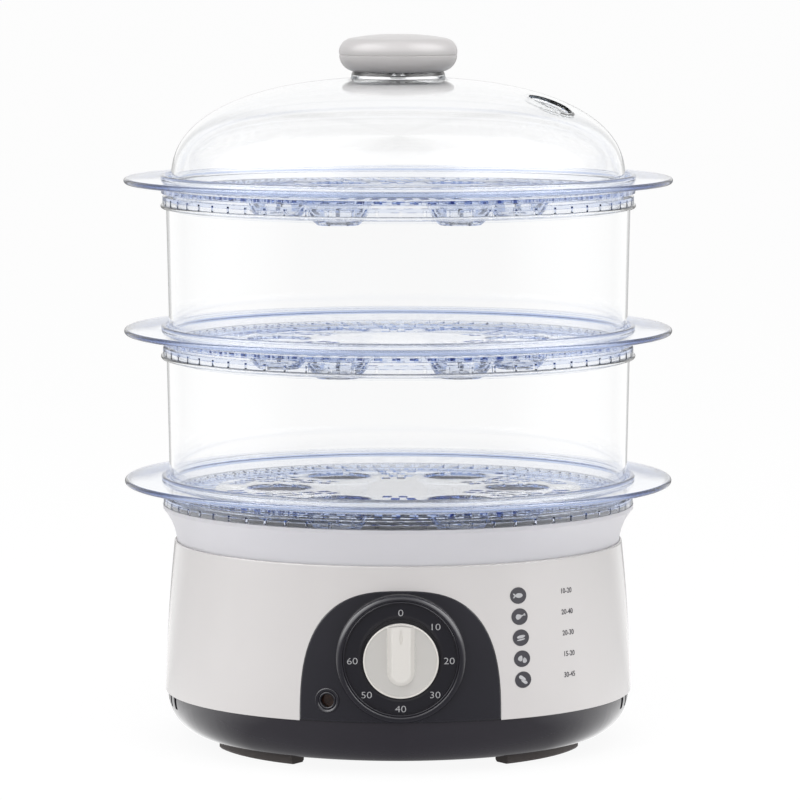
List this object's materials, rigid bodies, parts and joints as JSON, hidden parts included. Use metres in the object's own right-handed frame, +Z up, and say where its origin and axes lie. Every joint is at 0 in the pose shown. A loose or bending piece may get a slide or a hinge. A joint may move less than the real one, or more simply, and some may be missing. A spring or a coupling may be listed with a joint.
{
  "type": "electric food steamer",
  "caption": "Round electric steamer: white base with a timer dial, frosted drip tray, clear stacked bowls on perforated trays with egg cups, and a clear domed lid.",
  "frame": {"origin": "on the table, under the centre of the round base, at the underside of the feet", "axes": "+Z up along the stack's axis, -Y towards the front with the timer dial, +X to the right as seen from the front"},
  "size_m": [0.29, 0.29, 0.3753],
  "materials": {
    "white_housing": "gloss",
    "dark_pan": "gloss",
    "dark_panel": "gloss",
    "foot_rubber": "matte",
    "clear_plastic": "gloss",
    "tray_plastic": "gloss",
    "frosted_plastic": "satin",
    "knob_white": "gloss",
    "lid_knob_grey": "satin",
    "tank_plastic": "satin",
    "steam_ring_plastic": "satin",
    "cast_aluminium": "satin",
    "steel": "satin",
    "spring_steel": "satin",
    "brass": "satin",
    "silicone": "matte",
    "lens_amber": "gloss",
    "lamp_glass": "gloss",
    "inner_plastic": "matte",
    "timer_plastic": "matte",
    "gland_rubber": "matte",
    "wire_brown": "matte",
    "wire_blue": "matte",
    "wire_green": "matte"
  },
  "bodies": {
    "base": {"foot_front_right": "foot_rubber", "foot_back_right": "foot_rubber", "foot_back_left": "foot_rubber", "foot_front_left": "foot_rubber", "base_pan": "dark_pan", "housing": "white_housing", "water_tank": "tank_plastic", "case_screws": "steel", "heater_plate": "cast_aluminium", "heater_seal": "silicone", "heater_clamp": "steel", "heater_screws": "steel", "heating_element": "steel", "thermostat": "steel", "thermostat_bracket": "steel", "thermal_fuse": "brass", "control_panel": "dark_panel", "indicator_lens": "lens_amber", "lamp_holder": "inner_plastic", "indicator_lamp": "lamp_glass", "timer_body": "timer_plastic", "timer_screws": "steel", "timer_bell": "spring_steel", "cord_gland": "gland_rubber", "terminal_block": "inner_plastic", "terminal_screws": "brass", "earth_tab": "brass", "wire_supply": "wire_brown", "wire_heater": "wire_brown", "wire_return": "wire_blue", "wire_earth": "wire_green"},
    "knob": {"timer_knob": "knob_white", "timer_shaft": "steel", "knob_clip": "spring_steel"},
    "steam_ring": {"steam_ring": "steam_ring_plastic"},
    "juice_tray": {"juice_tray": "frosted_plastic"},
    "lower_tray": {"lower_tray_rim": "tray_plastic", "lower_tray_floor": "tray_plastic", "lower_tray_cups": "tray_plastic"},
    "lower_bowl": {"lower_bowl": "clear_plastic"},
    "middle_tray": {"middle_tray_rim": "tray_plastic", "middle_tray_floor": "tray_plastic", "middle_tray_cups": "tray_plastic"},
    "upper_bowl": {"upper_bowl": "clear_plastic"},
    "top_tray": {"top_tray_rim": "tray_plastic", "top_tray_floor": "tray_plastic", "top_tray_cups": "tray_plastic"},
    "lid": {"lid_dome": "clear_plastic", "lid_knob_body": "lid_knob_grey", "lid_knob_cap": "lid_knob_grey", "lid_washer": "silicone", "lid_screw": "steel"}
  },
  "joints": [
    {"name": "timer_turn", "type": "hinge", "parent": "base", "child": "knob", "pos_m": [0, -0.12, 0.0612], "axis": [0, 1, 0], "range_deg": [0, 270]},
    {"name": "steam_ring_lift", "type": "slide", "parent": "base", "child": "steam_ring", "axis": [0, 0, 1], "range_m": [0, 0.03]},
    {"name": "juice_tray_lift", "type": "slide", "parent": "base", "child": "juice_tray", "axis": [0, 0, 1], "range_m": [0, 0.06]},
    {"name": "lower_tray_lift", "type": "slide", "parent": "juice_tray", "child": "lower_tray", "axis": [0, 0, 1], "range_m": [0, 0.05]},
    {"name": "lower_bowl_lift", "type": "slide", "parent": "lower_tray", "child": "lower_bowl", "axis": [0, 0, 1], "range_m": [0, 0.03]},
    {"name": "middle_tray_lift", "type": "slide", "parent": "lower_bowl", "child": "middle_tray", "axis": [0, 0, 1], "range_m": [0, 0.04]},
    {"name": "upper_bowl_lift", "type": "slide", "parent": "middle_tray", "child": "upper_bowl", "axis": [0, 0, 1], "range_m": [0, 0.03]},
    {"name": "top_tray_lift", "type": "slide", "parent": "upper_bowl", "child": "top_tray", "axis": [0, 0, 1], "range_m": [0, 0.04]},
    {"name": "lid_lift", "type": "slide", "parent": "top_tray", "child": "lid", "axis": [0, 0, 1], "range_m": [0, 0.09]}
  ]
}
